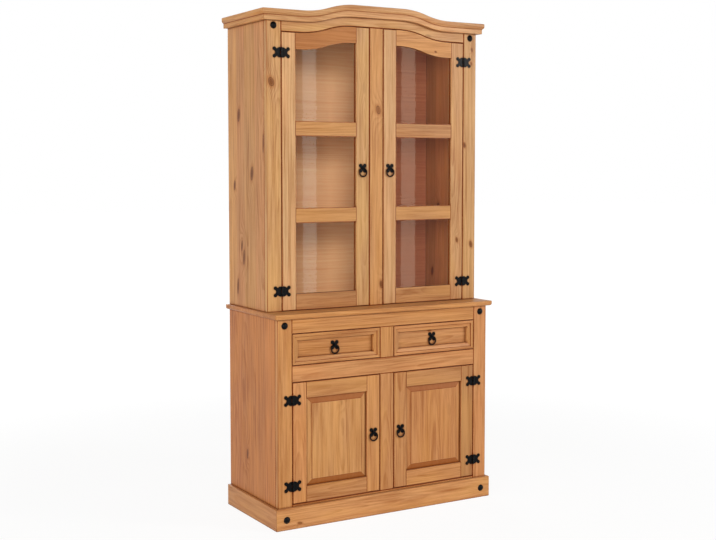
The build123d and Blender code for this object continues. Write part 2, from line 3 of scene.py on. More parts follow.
import bpy
import numpy as np
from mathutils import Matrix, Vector


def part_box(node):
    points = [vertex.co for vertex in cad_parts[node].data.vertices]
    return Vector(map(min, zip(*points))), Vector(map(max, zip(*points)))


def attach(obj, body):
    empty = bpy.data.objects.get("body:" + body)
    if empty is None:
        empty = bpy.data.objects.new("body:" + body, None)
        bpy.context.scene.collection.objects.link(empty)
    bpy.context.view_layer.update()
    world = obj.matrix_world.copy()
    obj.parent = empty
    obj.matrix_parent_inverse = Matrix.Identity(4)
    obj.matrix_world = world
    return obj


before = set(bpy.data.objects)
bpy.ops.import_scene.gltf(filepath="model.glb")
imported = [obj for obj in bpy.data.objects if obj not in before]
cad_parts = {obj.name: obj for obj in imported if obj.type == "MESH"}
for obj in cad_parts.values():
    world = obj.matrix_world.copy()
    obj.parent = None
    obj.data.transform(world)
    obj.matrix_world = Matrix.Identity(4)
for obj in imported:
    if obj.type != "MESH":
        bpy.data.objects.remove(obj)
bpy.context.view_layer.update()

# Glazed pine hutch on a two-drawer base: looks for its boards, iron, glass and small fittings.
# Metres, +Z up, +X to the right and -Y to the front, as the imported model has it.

scene = bpy.context.scene


# ---------------------------------------------------------------- shader maths
class Wire:
    """A socket of a node graph. Arithmetic on it adds Math nodes."""

    def __init__(self, graph, socket):
        self.graph = graph
        self.socket = socket

    def math(self, operation, *others, clamp=False):
        values = {index + 1: other for index, other in enumerate(others)}
        settings = {"operation": operation, "use_clamp": clamp}
        return self.graph.node("ShaderNodeMath", settings, {0: self, **values})

    def turned(self, operation, other):
        return self.graph.node("ShaderNodeMath", {"operation": operation}, {0: other, 1: self})

    def __add__(self, other):
        return self.math("ADD", other)

    def __sub__(self, other):
        return self.math("SUBTRACT", other)

    def __mul__(self, other):
        return self.math("MULTIPLY", other)

    def __gt__(self, other):
        return self.math("GREATER_THAN", other)

    def __lt__(self, other):
        return self.math("LESS_THAN", other)

    def __rsub__(self, other):
        return self.turned("SUBTRACT", other)

    def __abs__(self):
        return self.math("ABSOLUTE")

    __radd__ = __add__
    __rmul__ = __mul__


class Graph:
    """The nodes of a material, the world or a node group."""

    def __init__(self, tree):
        self.tree = tree

    def node(self, kind, settings=None, values=None, output=0):
        """Adds a node: its settings first, then the values or links of its sockets.
        It gives back one output, or all of them by name where output is None."""
        made = self.tree.nodes.new(kind)
        for name, value in (settings or {}).items():
            if name == "stops":
                self.stops(made.color_ramp, value)
            else:
                setattr(made, name, value)
        for name, value in (values or {}).items():
            socket = made.inputs[name]
            if isinstance(value, Wire):
                self.tree.links.new(value.socket, socket)
            else:
                socket.default_value = value
        if output is None:
            return {socket.name: Wire(self, socket) for socket in made.outputs}
        return Wire(self, made.outputs[output])

    @staticmethod
    def stops(ramp, stops):
        while len(ramp.elements) < len(stops):
            ramp.elements.new(0.5)
        for element, (place, level) in zip(ramp.elements, stops):
            element.position = place
            element.color = (level, level, level, 1.0)

    def level(self, value, low, high, to_low=0.0, to_high=1.0):
        """Maps low..high smoothly to to_low..to_high, held at both ends."""
        values = {"Value": value, "From Min": low, "From Max": high, "To Min": to_low, "To Max": to_high}
        return self.node("ShaderNodeMapRange", {"interpolation_type": "SMOOTHSTEP"}, values)

    def point(self, x, y, z):
        return self.node("ShaderNodeCombineXYZ", values={0: x, 1: y, 2: z})

    def noise(self, place, scale, detail=2.0, roughness=0.5):
        values = {"Vector": place, "Scale": scale, "Detail": detail, "Roughness": roughness}
        return self.node("ShaderNodeTexNoise", {}, values)

    def mix(self, factor, below, above, blend="MIX"):
        """Colour mix of 'below' and 'above'."""
        settings = {"data_type": "RGBA", "blend_type": blend}
        return self.node("ShaderNodeMix", settings, {0: factor, 6: below, 7: above}, output=2)

    def end(self, kind, **wires):
        """Links the closing node of the graph."""
        self.node(kind, values=wires, output=None)


def tint(red, green, blue):
    """A screen colour of 0 to 255 as linear light, with full alpha."""
    parts = (value / 255.0 for value in (red, green, blue))
    return (*(p / 12.92 if p <= 0.04045 else ((p + 0.055) / 1.055) ** 2.4 for p in parts), 1.0)


def fresh_material(name):
    """A new material and its empty graph."""
    material = bpy.data.materials.new(name)
    material.use_nodes = True
    material.node_tree.nodes.clear()
    return material, Graph(material.node_tree)


def finish(g, colour, roughness, relief=None, gloss=0.5):
    """Closes a material's graph with its shader. 'relief' is the strength, depth and height of its
    bumps, and 'gloss' is how strongly it mirrors, 0 for not at all and 0.5 for a plain varnish."""
    values = {"Base Color": colour, "Roughness": roughness, "Specular IOR Level": gloss}
    if relief:
        strength, depth, height = relief
        bumps = {"Strength": strength, "Distance": depth, "Height": height}
        values["Normal"] = g.node("ShaderNodeBump", {}, bumps)
    g.end("ShaderNodeOutputMaterial", Surface=g.node("ShaderNodeBsdfPrincipled", {}, values))


# ---------------------------------------------------------------- pine
EARLY = tint(220, 173, 121)
LATE = tint(160, 98, 45)
ROSY = tint(208, 148, 101)
GOLDEN = tint(208, 160, 96)
DEEP = (0.82, 0.62, 0.48)
# Colour of painted shade in corners, grooves and seams, where a neighbour blocks the light
SEAM_SHADE_COLOUR = tint(106, 46, 9)
# Colour of painted shade along arrises and in the seams of the eased edges
ARRIS_SHADE_COLOUR = tint(130, 52, 6)
END_GRAIN = tint(152, 82, 28)
# Pale colour of open arrises: partly wear, partly painted highlight
WEAR_AND_HIGHLIGHT_LOW, WEAR_AND_HIGHLIGHT_HIGH = tint(190, 130, 76), tint(214, 160, 108)
KNOT_HEART = tint(118, 60, 10)
KNOT_RIM = tint(78, 36, 4)
KNOT_HALO = tint(158, 86, 26)
# Width of the strip of painted shade along an arris, and from how far a neighbour casts painted shade on a
# face and on an edge
EDGE_WIDTH = 0.0042
SEAM_REACH, EDGE_REACH = 0.007, 0.012
# Growth rings: their pitch, and how many rings the slow waves and the ripples bend them
RING_PITCH = 0.0058
WANDER = 1.4
RIPPLE = 0.5
# Noise scales across the grain, in waves a metre
WANDER_WAVES = 9.0
RIPPLE_WAVES = 34.0
STRENGTH_WAVES = 6.0
FIBRE_WAVES = 620.0
STREAK_WAVES = 88.0
PATCH_WAVES = 9.0
# How much of the late wood's colour a board has at the least, and what rings, streaks and fibres add
PLAIN_DARK = 0.19
RING_DARK = 0.5
STREAK_DARK = 2.3
FIBRE_DARK = 0.4


def pine_figure():
    """Figure of a sawn pine board. Rings are the distance from the pith over the ring pitch,
    bent by slow noise that is drawn out along the grain; each ring darkens slowly and ends sharply."""
    tree = bpy.data.node_groups.new("pine_figure", "ShaderNodeTree")
    tree.interface.new_socket("Tone", in_out="INPUT", socket_type="NodeSocketColor")
    for name in ("Along", "Across", "Through", "Board", "Figured", "Bend", "Knot", "Core", "End", "Arris"):
        tree.interface.new_socket(name, in_out="INPUT", socket_type="NodeSocketFloat")
    for name, kind in (("Color", "Color"), ("Roughness", "Float"), ("Height", "Float")):
        tree.interface.new_socket(name, in_out="OUTPUT", socket_type="NodeSocket" + kind)
    g = Graph(tree)
    inputs = g.node("NodeGroupInput", output=None)
    along, across, through = inputs["Along"], inputs["Across"], inputs["Through"]
    board, knot, core = inputs["Board"], inputs["Knot"], inputs["Core"]

    slow = g.noise(g.point(along * 0.11 + board * 7.0, across, through), WANDER_WAVES, 1.0)
    ripple = g.noise(g.point(along * 0.3, across + board * 3.0, through), RIPPLE_WAVES, 1.0)
    reach = (across * across + through * through).math("SQRT") * (1.0 / RING_PITCH)
    rings = reach + (slow - 0.5) * (2.0 * WANDER) + (ripple - 0.5) * (2.0 * RIPPLE) + inputs["Bend"]
    late = g.node("ShaderNodeValToRGB", {"stops": [(0.0, 0.05), (0.45, 0.22), (0.82, 0.95),
                                                   (0.93, 0.85), (1.0, 0.05)]}, {0: rings.math("FRACT")})
    strength = g.level(g.noise(g.point(along * 0.5, across * 3.0, board * 11.0), STRENGTH_WAVES, 1.0),
                       0.3, 0.7, 0.35, 0.95)
    fibre = g.noise(g.point(along * 0.12, across, through), FIBRE_WAVES, 2.0, 0.6)
    streak = g.noise(g.point(along * 0.035, across + board, through), STREAK_WAVES, 3.0, 0.62)
    patch = g.noise(g.point(along * 0.35, across * 1.6, through + board * 5.0), PATCH_WAVES)

    dark = late * strength * RING_DARK + (streak - 0.5) * STREAK_DARK + (fibre - 0.5) * FIBRE_DARK
    wood = g.mix((dark * inputs["Figured"]).math("ADD", PLAIN_DARK, clamp=True), EARLY, LATE)
    blush = g.mix(g.level(board + (patch - 0.5) * 1.6, 0.25, 0.75), ROSY, GOLDEN)
    wood = g.mix(g.level(patch, 0.3, 0.7, 0.12, 0.5), wood, blush)
    shade = (board * 7.31).math("FRACT") * 0.2 + (patch - 0.5) * 0.42 + 0.9
    wood = g.mix(1.0, wood, g.point(shade, shade, shade), "MULTIPLY")
    wood = g.mix(1.0, wood, inputs["Tone"], "MULTIPLY")

    heart = g.mix(g.level((core * 16.0).math("SINE"), -1.0, 1.0, 0.0, 0.6), KNOT_HEART, KNOT_RIM)
    wood = g.mix(g.level(core, 1.0, 2.3, 0.5, 0.0), wood, KNOT_HALO)
    wood = g.mix(g.level(abs(core - 1.0), 0.0, 0.26, 0.7, 0.0), wood, KNOT_RIM)
    wood = g.mix(knot * 0.95, wood, heart)
    wood = g.mix(inputs["End"], wood, END_GRAIN)
    # Painted shade: a dark strip along the board's long arrises, where the seams between boards fall
    wood = g.mix(inputs["Arris"], wood, ARRIS_SHADE_COLOUR)
    # Painted shade: faces darken to the seam colour where neighbours within the seam reach block the open
    # sky
    sky = g.node("ShaderNodeAmbientOcclusion", {"samples": 4}, {"Distance": SEAM_REACH}, output="AO")
    wood = g.mix(g.level(sky, 0.40, 1.0, 0.9, 0.0), wood, SEAM_SHADE_COLOUR)

    rough = late * 0.06 + (fibre - 0.5) * 0.14 + 0.40
    height = fibre * 0.5 + late * 0.35 + streak * 0.3 - knot * 0.4
    g.end("NodeGroupOutput", Color=wood, Roughness=rough, Height=height)
    return tree


FIGURE = pine_figure()
AXES = "xyz"
# Where the pith lies: its depth under the show face, its play to each side, and the grain's slope to it
PITH_DEPTH = 0.055
PITH_PLAY = 0.10
PITH_SLOPE = 0.09
# Luck of the boards: the step from node to node, how far it shifts the figure along and in depth,
# and what sets right and turned boards apart
SEED_STEP = 1.37
SEED_START = 0.21
LUCK_ALONG = 3.0
LUCK_THROUGH = 0.05
RIGHT_NUMBER = 13.0
RIGHT_SHIFT = 0.37
TURNED_NUMBER = 3.0
# Knots: how many rings they bend the grain, how soon that fades, and the slant of an oval one.
# In knot radii: where the dark heart begins to fade, where it ends, and a distance past every knot
KNOT_BEND = 2.6
KNOT_FADE = -0.10
KNOT_SLANT = 0.25
HEART_FADES, HEART_ENDS = 0.55, 1.15
FAR_FROM_KNOTS = 4.0
# How far a face has to tilt to the grain to count as a cut end: from, and in full
END_FROM, END_FULL = 0.09, 0.22
# How much weaker the figure is on faces that look into the cabinet
INSIDE_PLAINNESS = 0.5


def deepened(tone, light):
    """The deep honey colour to the power of the tone, times the brightness."""
    return (*(light * channel ** tone for channel in DEEP), 1.0)


def board_at(place, boards, side, centre, half):
    """The number of the board that a point is on, from 0, and that board's middle and half width
    across the grain. Each gap between two spans that a point lies past adds 1 to the number."""
    number = 0.0
    if not boards:
        return number, centre, half
    axis, spans = boards
    if axis == side:
        centre, half = sum(spans[0]) / 2, (spans[0][1] - spans[0][0]) / 2
    for (low_a, high_a), (low_b, high_b) in zip(spans, spans[1:]):
        past = place[axis] > (high_a + low_b) / 2
        number = past + number
        if axis == side:
            centre = past * ((low_b + high_b - low_a - high_a) / 2) + centre
            half = past * ((high_b - low_b - high_a + low_a) / 2) + half
    return number, centre, half


def knots_at(g, along, beside, knots):
    """What the knots do at a point: the rings that they bend the grain by, the darkness of their
    hearts, and the distance to the nearest dark knot. The distance is in radii of the knot: the
    root of run squared plus rise squared over the radius, where the run is shortened by the
    length over the width, and the rise leans with the run. The bend is a bell of that distance."""
    bend, knot, core = 0.0, 0.0, FAR_FROM_KNOTS
    for at, aside, radius, length, heart in knots:
        run = (along - at) * (1.0 / length)
        rise = beside - aside + run * KNOT_SLANT
        far = (run * run + rise * rise).math("SQRT") * (1.0 / radius)
        bend = (far * far * KNOT_FADE).math("EXPONENT") * KNOT_BEND + bend
        knot = g.level(far, HEART_FADES, HEART_ENDS, heart, 0.0).math("MAXIMUM", knot)
        core = far.math("MINIMUM", core) if heart > 0.5 else core
    return bend, knot, core


def exchanged(mask, first, second):
    """Both values, exchanged where the mask is 1."""
    return mask * (second - first) + first, mask * (first - second) + second


def pine(node, tone, grain, face, seed, boards=None, knots=(), pair=False, turned=None, swap="across",
         ends=0.85, light=1.0, second=None, inside=None, shaded_arrises=0.0, gloss=0.2):
    """Pine for a CAD node whose grain runs along one axis and whose show face looks along another.
    'tone' is the power of the deep honey colour, 0 for pale straw, and 'light' is its brightness.
    'boards' is an axis and the spans of the separate boards along it. 'knots' are (place along,
    place across, radius, length over width, darkness of the heart). 'pair' is a left and right piece
    that mirror each other. 'turned' gives the part of the node whose boards run the other way, and
    'swap' the axis they run along. 'ends' is how dark the cut ends of the boards are.
    'second' is the tone and brightness of the second of two boards, and 'inside' those of faces that
    look towards the middle of the cabinet, which show less figure and are painted redder, as painted
    bounce light.
    'shaded_arrises' is how dark the painted shade is along the long arrises of each board, where the
    seams between boards fall. 'gloss' is 0 for a bare board without wax."""
    material, g = fresh_material("pine_" + node)
    low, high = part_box(node)
    middle = dict(zip(AXES, ((low[axis] + high[axis]) / 2 for axis in range(3))))
    face_at = dict(zip(AXES, (high[0] - PITH_DEPTH, low[1] + PITH_DEPTH, high[2] - PITH_DEPTH)))[face]
    coordinates = g.node("ShaderNodeTexCoord", output=None)
    parts = g.node("ShaderNodeSeparateXYZ", values={0: coordinates["Object"]}, output=None)
    place = {axis: parts[axis.upper()] for axis in AXES}
    side = next(axis for axis in AXES if axis not in (grain, face))

    half_width = (high[AXES.index(side)] - low[AXES.index(side)]) / 2
    number, centre, half = board_at(place, boards, side, middle[side], half_width)
    through = place[face]
    along = place[grain]
    if pair:
        right = place["x"] > 0.0
        number = right * RIGHT_NUMBER + number
        along = right * RIGHT_SHIFT + along
        if face == "x":
            through = abs(through)
    across = place[side] - centre
    through = through - face_at
    # Mask of painted shade along the long arrises, where the seams between boards fall
    arris = g.level(abs(across) - half, -EDGE_WIDTH, 0.0, 0.0, shaded_arrises)
    if turned:
        mask = turned(place)
        number = mask * TURNED_NUMBER + number
        if swap == "across":
            along, across = exchanged(mask, along, across)
        else:
            along, through = exchanged(mask, along, through)

    luck = g.node("ShaderNodeTexWhiteNoise", {"noise_dimensions": "1D"},
                  {"W": number + (seed * SEED_STEP + SEED_START)}, output=None)
    spread = g.node("ShaderNodeSeparateXYZ", values={0: luck["Color"]}, output=None)
    aside = (spread["X"] - 0.5) * PITH_PLAY
    slope = (spread["Y"] - 0.5) * PITH_SLOPE
    bend, knot, core = knots_at(g, along, place[side], knots)
    tilts = g.node("ShaderNodeSeparateXYZ", values={0: coordinates["Normal"]}, output=None)
    arris = arris * (1.0 - abs(tilts[side.upper()]))
    end = abs(tilts[grain.upper()])
    if turned:
        other = abs(tilts[(side if swap == "across" else face).upper()])
        end = mask * (other - end) + end
    depth, figured = deepened(tone, light), 1.0
    if second is not None:
        depth = g.mix(number, depth, deepened(*second))
    # Painted bounce light: faces that look into the cabinet take a redder colour
    if inside is not None:
        inward = (tilts["X"] * place["x"]) < 0.0
        depth = g.mix(inward, depth, deepened(*inside))
        figured = inward * -INSIDE_PLAINNESS + 1.0
    values = {"Along": along + spread["Z"] * LUCK_ALONG, "Across": across - aside,
              "Through": through + spread["Z"] * LUCK_THROUGH + (along - middle[grain]) * slope,
              "Board": luck["Value"], "Tone": depth, "Figured": figured, "Bend": bend, "Knot": knot,
              "Core": core, "End": g.level(end, END_FROM, END_FULL, 0.0, ends), "Arris": arris}
    figure = g.node("ShaderNodeGroup", {"node_tree": FIGURE}, values, output=None)
    finish(g, figure["Color"], figure["Roughness"], (0.25, 0.0006, figure["Height"]), gloss)
    return material


def edge_material():
    """Eased edges of the boards: painted shade darkens them where two boards meet and a neighbour blocks
    the open sky; open corners take a pale colour that is partly wear and partly painted highlight.
    """
    material, g = fresh_material("pine_edges")
    place = g.node("ShaderNodeTexCoord", output="Object")
    sky = g.node("ShaderNodeAmbientOcclusion", {"samples": 16}, {"Distance": EDGE_REACH}, output="AO")
    wear_and_highlight = g.mix(g.noise(place, 90.0), WEAR_AND_HIGHLIGHT_LOW, WEAR_AND_HIGHLIGHT_HIGH)
    # Painted shade where the eased edge meets a neighbour, elsewhere the pale wear and painted highlight
    colour = g.mix(g.level(sky, 0.93, 1.0), ARRIS_SHADE_COLOUR, wear_and_highlight)
    finish(g, colour, 0.5, gloss=0.1)
    return material


# Thin back board: veneer, and the darker, redder painted shade on the inside face's right end, which
# begins and is full at these places
VENEER_PALE, VENEER_DEEP = tint(249, 199, 138), tint(238, 166, 105)
RIGHT_END_SHADE_PALE, RIGHT_END_SHADE_DEEP = tint(226, 150, 104), tint(206, 120, 80)
RIGHT_END_SHADE_FROM, RIGHT_END_SHADE_FULL = 0.10, 0.30


def back_board_material():
    """Thin back board: a plain veneer whose fine lines run across the cabinet. The face inside the
    cabinet is painted darker and redder at its right end, as painted shade over the right compartment."""
    material, g = fresh_material("thin_back_board")
    coordinates = g.node("ShaderNodeTexCoord", output=None)
    parts = g.node("ShaderNodeSeparateXYZ", values={0: coordinates["Object"]}, output=None)
    tilts = g.node("ShaderNodeSeparateXYZ", values={0: coordinates["Normal"]}, output=None)
    along, across = parts["X"], parts["Z"]
    drift = g.noise(g.point(along * 0.6, across * 0.8, 0.0), 3.0)
    lines = g.noise(g.point(along * 0.025, across + drift * 0.03, 2.0), 115.0, 3.0, 0.65)
    fine = g.noise(g.point(along * 0.3, across, 5.0), 520.0, 2.0)
    dark = (lines - 0.5) * 2.2 + (fine - 0.5) * 0.4 + (drift - 0.5) * 0.5 + 0.4
    # Painted shade: the inside face darkens and reddens towards its right end
    heart = g.level(along, RIGHT_END_SHADE_FROM, RIGHT_END_SHADE_FULL) * (tilts["Y"] < 0.0)
    pale = g.mix(heart, VENEER_PALE, RIGHT_END_SHADE_PALE)
    deep = g.mix(heart, VENEER_DEEP, RIGHT_END_SHADE_DEEP)
    colour = g.mix(dark.math("MULTIPLY", 1.0, clamp=True), pale, deep)
    finish(g, colour, fine * 0.1 + 0.45, (0.15, 0.0004, fine))
    return material


# ---------------------------------------------------------------- iron, glass, catches
IRON_BLACK, IRON_RUBBED = tint(4, 4, 5), tint(15, 16, 18)
PANE_TINT = (0.985, 0.98, 0.975, 1.0)
PANE_INDEX = 1.3
CATCH_DARK, CATCH_PALE = tint(58, 36, 20), tint(70, 46, 28)


def iron_material():
    """Black-painted forged iron: soft hammer marks and a faint rub on the high spots."""
    material, g = fresh_material("black_iron")
    place = g.node("ShaderNodeTexCoord", output="Object")
    dents = g.node("ShaderNodeTexVoronoi", {"feature": "SMOOTH_F1"},
                   {"Vector": place, "Scale": 190.0, "Smoothness": 0.8}, output="Distance")
    grit = g.noise(place, 900.0, 3.0, 0.6)
    rubbed = g.level(g.noise(place, 120.0), 0.5, 0.75)
    colour = g.mix(rubbed, IRON_BLACK, IRON_RUBBED)
    finish(g, colour, grit * 0.2 + 0.26, (0.6, 0.0009, dents * 0.9 + grit * 0.12), gloss=0.09)
    return material


def glass_material():
    """Thin clear window glass: light passes straight through, with a weak reflection from the face
    that it meets first."""
    material, g = fresh_material("clear_glass")
    rolled = g.noise(g.node("ShaderNodeTexCoord", output="Object"), 5.0, 1.0)
    bump = g.node("ShaderNodeBump", {}, {"Strength": 0.006, "Distance": 0.002, "Height": rolled})
    clear = g.node("ShaderNodeBsdfTransparent", {}, {"Color": PANE_TINT})
    gloss = g.node("ShaderNodeBsdfAnisotropic", {}, {"Roughness": 0.006, "Normal": bump})
    leaving = g.node("ShaderNodeNewGeometry", output="Backfacing")
    mirrored = g.node("ShaderNodeFresnel", {}, {"IOR": PANE_INDEX}) * (1.0 - leaving)
    shader = g.node("ShaderNodeMixShader", {}, {0: mirrored, 1: clear, 2: gloss})
    g.end("ShaderNodeOutputMaterial", Surface=shader)
    return material


def catch_material():
    """Brown moulded plastic with a fine grit in its colour and gloss."""
    material, g = fresh_material("catch_plastic")
    grit = g.noise(g.node("ShaderNodeTexCoord", output="Object"), 320.0, 3.0, 0.6)
    finish(g, g.mix(grit, CATCH_DARK, CATCH_PALE), grit * 0.15 + 0.5, (0.15, 0.0004, grit))
    return material


EDGES = edge_material()
BACK_BOARD = back_board_material()
IRON = iron_material()
GLASS = glass_material()
CATCH = catch_material()


# ---------------------------------------------------------------- dress the CAD nodes
# Easing: how near points are welded, up to what angle faces count as flat and from what angle an
# edge is an arris, and the widths of the eased arrises
WELD_REACH = 0.00002
FLAT_WITHIN = math.radians(0.6)
ARRIS_FROM = math.radians(32)
WIDE_ARRIS, FINE_ARRIS = 0.0028, 0.0019
# How dark the painted shade is along the long arrises of the frames' boards, where their seams fall
FRAME_ARRIS_SHADE = 0.9


def wear(node, *materials):
    """Gives a CAD node its materials, in the order of its slots."""
    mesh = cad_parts[node].data
    mesh.materials.clear()
    for material in materials:
        mesh.materials.append(material)


def ease(node, width):
    """Eases a board's edges: welds its triangles, clears the flat ones, then rounds the arrises,
    which take the second material."""
    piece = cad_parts[node]
    weld = piece.modifiers.new("weld", "WELD")
    weld.merge_threshold = WELD_REACH
    flat = piece.modifiers.new("flat", "DECIMATE")
    flat.decimate_type = "DISSOLVE"
    flat.angle_limit = FLAT_WITHIN
    arris = piece.modifiers.new("arris", "BEVEL")
    arris.width = width
    arris.segments = 2
    arris.limit_method = "ANGLE"
    arris.angle_limit = ARRIS_FROM
    arris.material = 1


# The boards that a panel or a pair of pieces is made of: an axis, and their spans along it
HUTCH_STAVES = ("y", [(-0.097, -0.020), (-0.020, 0.072), (0.072, 0.140), (0.140, 0.217)])
BASE_STAVES = ("y", [(-0.177, -0.090), (-0.090, 0.006), (0.006, 0.104), (0.104, 0.217)])
TOP_STAVES = ("y", [(-0.217, -0.110), (-0.110, 0.000), (0.000, 0.110), (0.110, 0.217)])
FRAME_PAIR = ("x", [(-0.4675, -0.4075), (0.4075, 0.4675)])
LEFT_DOOR = ("x", [(-0.4055, -0.3475), (-0.090, -0.032)])
RIGHT_DOOR = ("x", [(0.032, 0.090), (0.3475, 0.4055)])
HUTCH_RAILS = ("z", [(0.796, 0.858), (1.120, 1.175), (1.441, 1.496)])
BASE_RAILS = ("z", [(0.0905, 0.1525), (0.4775, 0.5395)])
SHELF_PAIR = ("z", [(1.137, 1.155), (1.458, 1.476)])
HUTCH_SIDE_KNOTS = [(1.523, 0.120, 0.0100, 2.2, 1.0), (1.303, 0.007, 0.0105, 2.2, 1.0),
                    (1.413, -0.090, 0.0052, 6.0, 0.9), (1.257, 0.160, 0.0075, 2.2, 1.0),
                    (1.028, 0.098, 0.006, 3.0, 1.0), (0.985, 0.080, 0.0085, 3.0, 0.9),
                    (0.870, 0.135, 0.0068, 4.0, 1.0)]
# Drawer fronts: their middles to left and right, their half sizes, and the depth of the box's back board
DRAWER_X, DRAWER_Z = 0.21875, 0.6615
DRAWER_HALF_WIDTH, DRAWER_HALF_HEIGHT = 0.18675, 0.057
DRAWER_BACK = 0.181


def drawer_frame(side):
    """Pine of a drawer front's mitred frame, whose upright members run the other way. They are
    where a point is nearer to an end of the front than to its top or foot."""
    def uprights(place):
        from_end = DRAWER_HALF_WIDTH - abs(place["x"] - side * DRAWER_X)
        return from_end < DRAWER_HALF_HEIGHT - abs(place["z"] - DRAWER_Z)
    return dict(tone=0.70, grain="x", face="y", turned=uprights)


def drawer_box():
    """Pine of a drawer's box, whose back board runs across it."""
    def back_board(place):
        return place["y"] > DRAWER_BACK
    return dict(tone=0.45, grain="y", face="x", turned=back_board, swap="through")


# The pine of each wooden node. Its place in this table sets the luck of its boards
TIMBER = {
    "base_sides": dict(tone=1.38, light=1.11, grain="z", face="x", boards=BASE_STAVES, pair=True,
                       knots=[(0.232, 0.060, 0.0065, 2.6, 0.9)]),
    "base_stiles": dict(tone=0.65, grain="z", face="y", boards=FRAME_PAIR),
    "base_top_rail": dict(tone=0.70, light=0.96, grain="x", face="y"),
    "base_mid_rail": dict(tone=0.60, light=1.10, grain="x", face="y"),
    "base_bottom_rail": dict(tone=0.65, grain="x", face="y"),
    "drawer_muntin": dict(tone=0.65, grain="z", face="y"),
    "door_muntin": dict(tone=0.60, grain="z", face="y"),
    "base_bottom_board": dict(tone=0.76, grain="x", face="z", boards=TOP_STAVES),
    "base_shelf": dict(tone=0.76, grain="x", face="z", boards=TOP_STAVES),
    "counter_top": dict(tone=0.70, light=1.14, grain="x", face="z", boards=TOP_STAVES, ends=0.4),
    "plinth_front": dict(tone=0.50, light=1.04, grain="x", face="y", ends=0.4,
                         knots=[(-0.384, 0.020, 0.004, 2.0, 0.6)]),
    "plinth_returns": dict(tone=0.65, grain="y", face="x", pair=True, ends=0.4),
    "drawer_runners": dict(tone=0.45, grain="y", face="z"),
    # Faces inside the hutch are painted redder, as painted bounce light between its walls
    "hutch_sides": dict(tone=0.45, light=0.97, inside=(1.05, 1.12), grain="z", face="x",
                        boards=HUTCH_STAVES, pair=True, knots=HUTCH_SIDE_KNOTS),
    "hutch_stiles": dict(tone=0.12, light=1.01, grain="z", face="y", boards=FRAME_PAIR,
                         knots=[(1.636, -0.4477, 0.0105, 1.4, 0.85), (1.415, 0.414, 0.006, 1.6, 1.0),
                                (1.0165, 0.448, 0.007, 1.7, 0.9), (1.795, 0.448, 0.004, 1.8, 0.8),
                                (1.740, 0.445, 0.004, 1.5, 0.7)]),
    "hutch_centre_stile": dict(tone=0.50, light=0.95, grain="z", face="y",
                               knots=[(1.545, 0.009, 0.0085, 1.7, 0.6), (0.874, 0.023, 0.0065, 2.0, 1.0)]),
    "hutch_arched_rail": dict(tone=0.08, light=0.93, grain="x", face="y",
                              knots=[(0.238, 1.838, 0.008, 2.0, 0.3)]),
    "hutch_bottom_board": dict(tone=0.65, grain="x", face="z", boards=TOP_STAVES),
    "hutch_top_board": dict(tone=0.65, grain="x", face="z", boards=TOP_STAVES, gloss=0.0),
    "hutch_shelves": dict(tone=0.54, grain="x", face="z", boards=SHELF_PAIR),
    "crown_front": dict(tone=0.10, grain="x", face="y", ends=0.3),
    "crown_returns": dict(tone=0.54, grain="y", face="x", pair=True, ends=0.3),
    "hutch_door_left_stiles": dict(tone=-0.18, light=1.05, second=(0.05, 0.90), grain="z", face="y",
                                   boards=LEFT_DOOR, knots=[(1.625, -0.055, 0.008, 3.0, 0.15)]),
    "hutch_door_right_stiles": dict(tone=-0.12, light=0.98, second=(0.10, 0.90), grain="z", face="y",
                                    boards=RIGHT_DOOR, knots=[(1.036, 0.379, 0.005, 1.8, 0.9)]),
    "hutch_door_left_rails": dict(tone=0.52, light=0.86, grain="x", face="y", boards=HUTCH_RAILS),
    "hutch_door_right_rails": dict(tone=0.52, light=0.86, grain="x", face="y", boards=HUTCH_RAILS,
                                   knots=[(0.145, 0.835, 0.010, 2.8, 0.12)]),
    "hutch_door_left_arched_rail": dict(tone=1.35, light=0.84, grain="x", face="y"),
    "hutch_door_right_arched_rail": dict(tone=0.65, grain="x", face="y",
                                         knots=[(0.273, 1.7785, 0.003, 1.6, 1.0)]),
    "base_door_left_stiles": dict(tone=0.66, grain="z", face="y", boards=LEFT_DOOR),
    "base_door_right_stiles": dict(tone=0.58, light=0.91, grain="z", face="y", boards=RIGHT_DOOR),
    "base_door_left_rails": dict(tone=0.65, grain="x", face="y", boards=BASE_RAILS),
    "base_door_right_rails": dict(tone=0.65, grain="x", face="y", boards=BASE_RAILS),
    "base_door_left_panel": dict(tone=0.49, grain="z", face="y", knots=[(0.452, -0.200, 0.007, 2.2, 0.2)]),
    "base_door_right_panel": dict(tone=0.78, light=0.93, grain="z", face="y",
                                  knots=[(0.372, 0.290, 0.012, 2.4, 0.12)]),
    "drawer_left_front_board": dict(tone=0.87, grain="x", face="y"),
    "drawer_right_front_board": dict(tone=0.55, light=1.02, grain="x", face="y",
                                     knots=[(0.207, 0.6905, 0.005, 1.6, 0.9)]),
    "drawer_left_moulded_frame": drawer_frame(-1.0),
    "drawer_right_moulded_frame": drawer_frame(1.0),
    "drawer_left_box": drawer_box(),
    "drawer_right_box": drawer_box(),
}

for order, (node, figure) in enumerate(TIMBER.items()):
    framing = "stile" in node or "muntin" in node or ("rail" in node and "arched" not in node)
    wear(node, pine(node, seed=order + 1, shaded_arrises=FRAME_ARRIS_SHADE if framing else 0.0, **figure), EDGES)
    ease(node, WIDE_ARRIS if "stile" in node or "arched" in node else FINE_ARRIS)
for node in ("base_back_panel", "hutch_back_panel"):
    wear(node, BACK_BOARD)
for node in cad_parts:
    if node.endswith("_glass"):
        wear(node, GLASS)
    elif node.endswith(("_ironwork", "_ring", "_pull_plate", "_leaves", "nail_heads")):
        wear(node, IRON)
    elif node == "door_catches":
        wear(node, CATCH)


